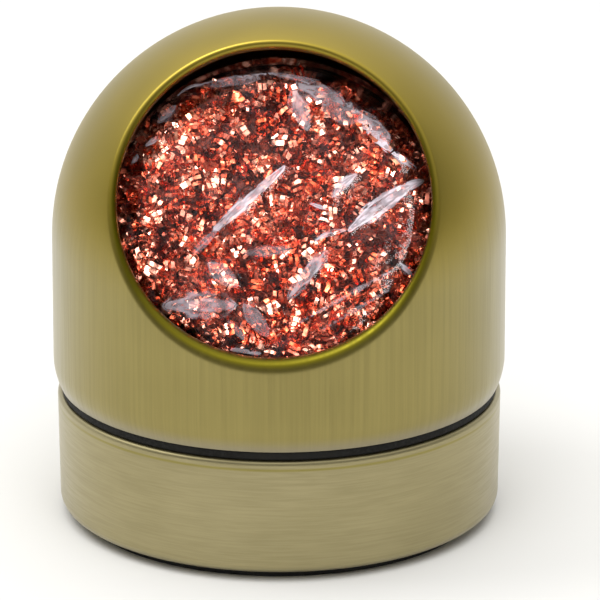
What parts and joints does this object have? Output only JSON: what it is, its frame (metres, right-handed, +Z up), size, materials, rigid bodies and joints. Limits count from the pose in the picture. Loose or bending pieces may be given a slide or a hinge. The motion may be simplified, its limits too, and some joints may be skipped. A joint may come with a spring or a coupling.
{
  "type": "soldering iron tip cleaner",
  "caption": "Domed metal stand with a tilted round mouth that holds a ball of copper ribbon wool for wiping a soldering iron's tip; the dome lifts off its weighted base.",
  "frame": {"origin": "centre of the underside of the foot pad, on the table", "axes": "+Z up through the crown of the dome; the mouth faces -Y, tilted up; +X to the right seen from the mouth's side"},
  "size_m": [0.067, 0.067, 0.076],
  "materials": {
    "dome_finish": "satin",
    "base_finish": "satin",
    "neck_metal": "satin",
    "black_rubber": "matte",
    "ballast_steel": "satin",
    "screw_steel": "gloss",
    "cup_tin": "satin",
    "copper_wool": "matte",
    "clear_film": "gloss",
    "foot_rubber": "matte",
    "adhesive": "matte"
  },
  "bodies": {
    "base": {"base_shell": "base_finish", "neck_sleeve": "neck_metal", "ballast_disc": "ballast_steel", "ballast_screw": "screw_steel", "lock_washer": "screw_steel", "foot_pad": "foot_rubber", "pad_adhesive": "adhesive"},
    "ring": {"seam_ring": "black_rubber"},
    "dome": {"dome_shell": "dome_finish"},
    "cup": {"catch_cup": "cup_tin"},
    "wool": {"cleaning_wool": "copper_wool", "wool_wrap": "clear_film"}
  },
  "joints": [
    {"name": "ring_turn", "type": "hinge", "parent": "base", "child": "ring", "pos_m": [0, 0, 0.0195], "axis": [0, 0, 1], "continuous": true},
    {"name": "dome_lift", "type": "slide", "parent": "ring", "child": "dome", "axis": [0, 0, 1], "range_m": [0, 0.11]},
    {"name": "wool_lift", "type": "slide", "parent": "base", "child": "wool", "axis": [0, 0, 1], "range_m": [0, 0.055]},
    {"name": "cup_lift", "type": "slide", "parent": "base", "child": "cup", "axis": [0, 0, 1], "range_m": [0, 0.0242]}
  ],
  "couplings": [
    {"joint": "wool_lift", "follows": "dome_lift", "ratio": 0.5},
    {"joint": "cup_lift", "follows": "dome_lift", "ratio": 0.22}
  ]
}
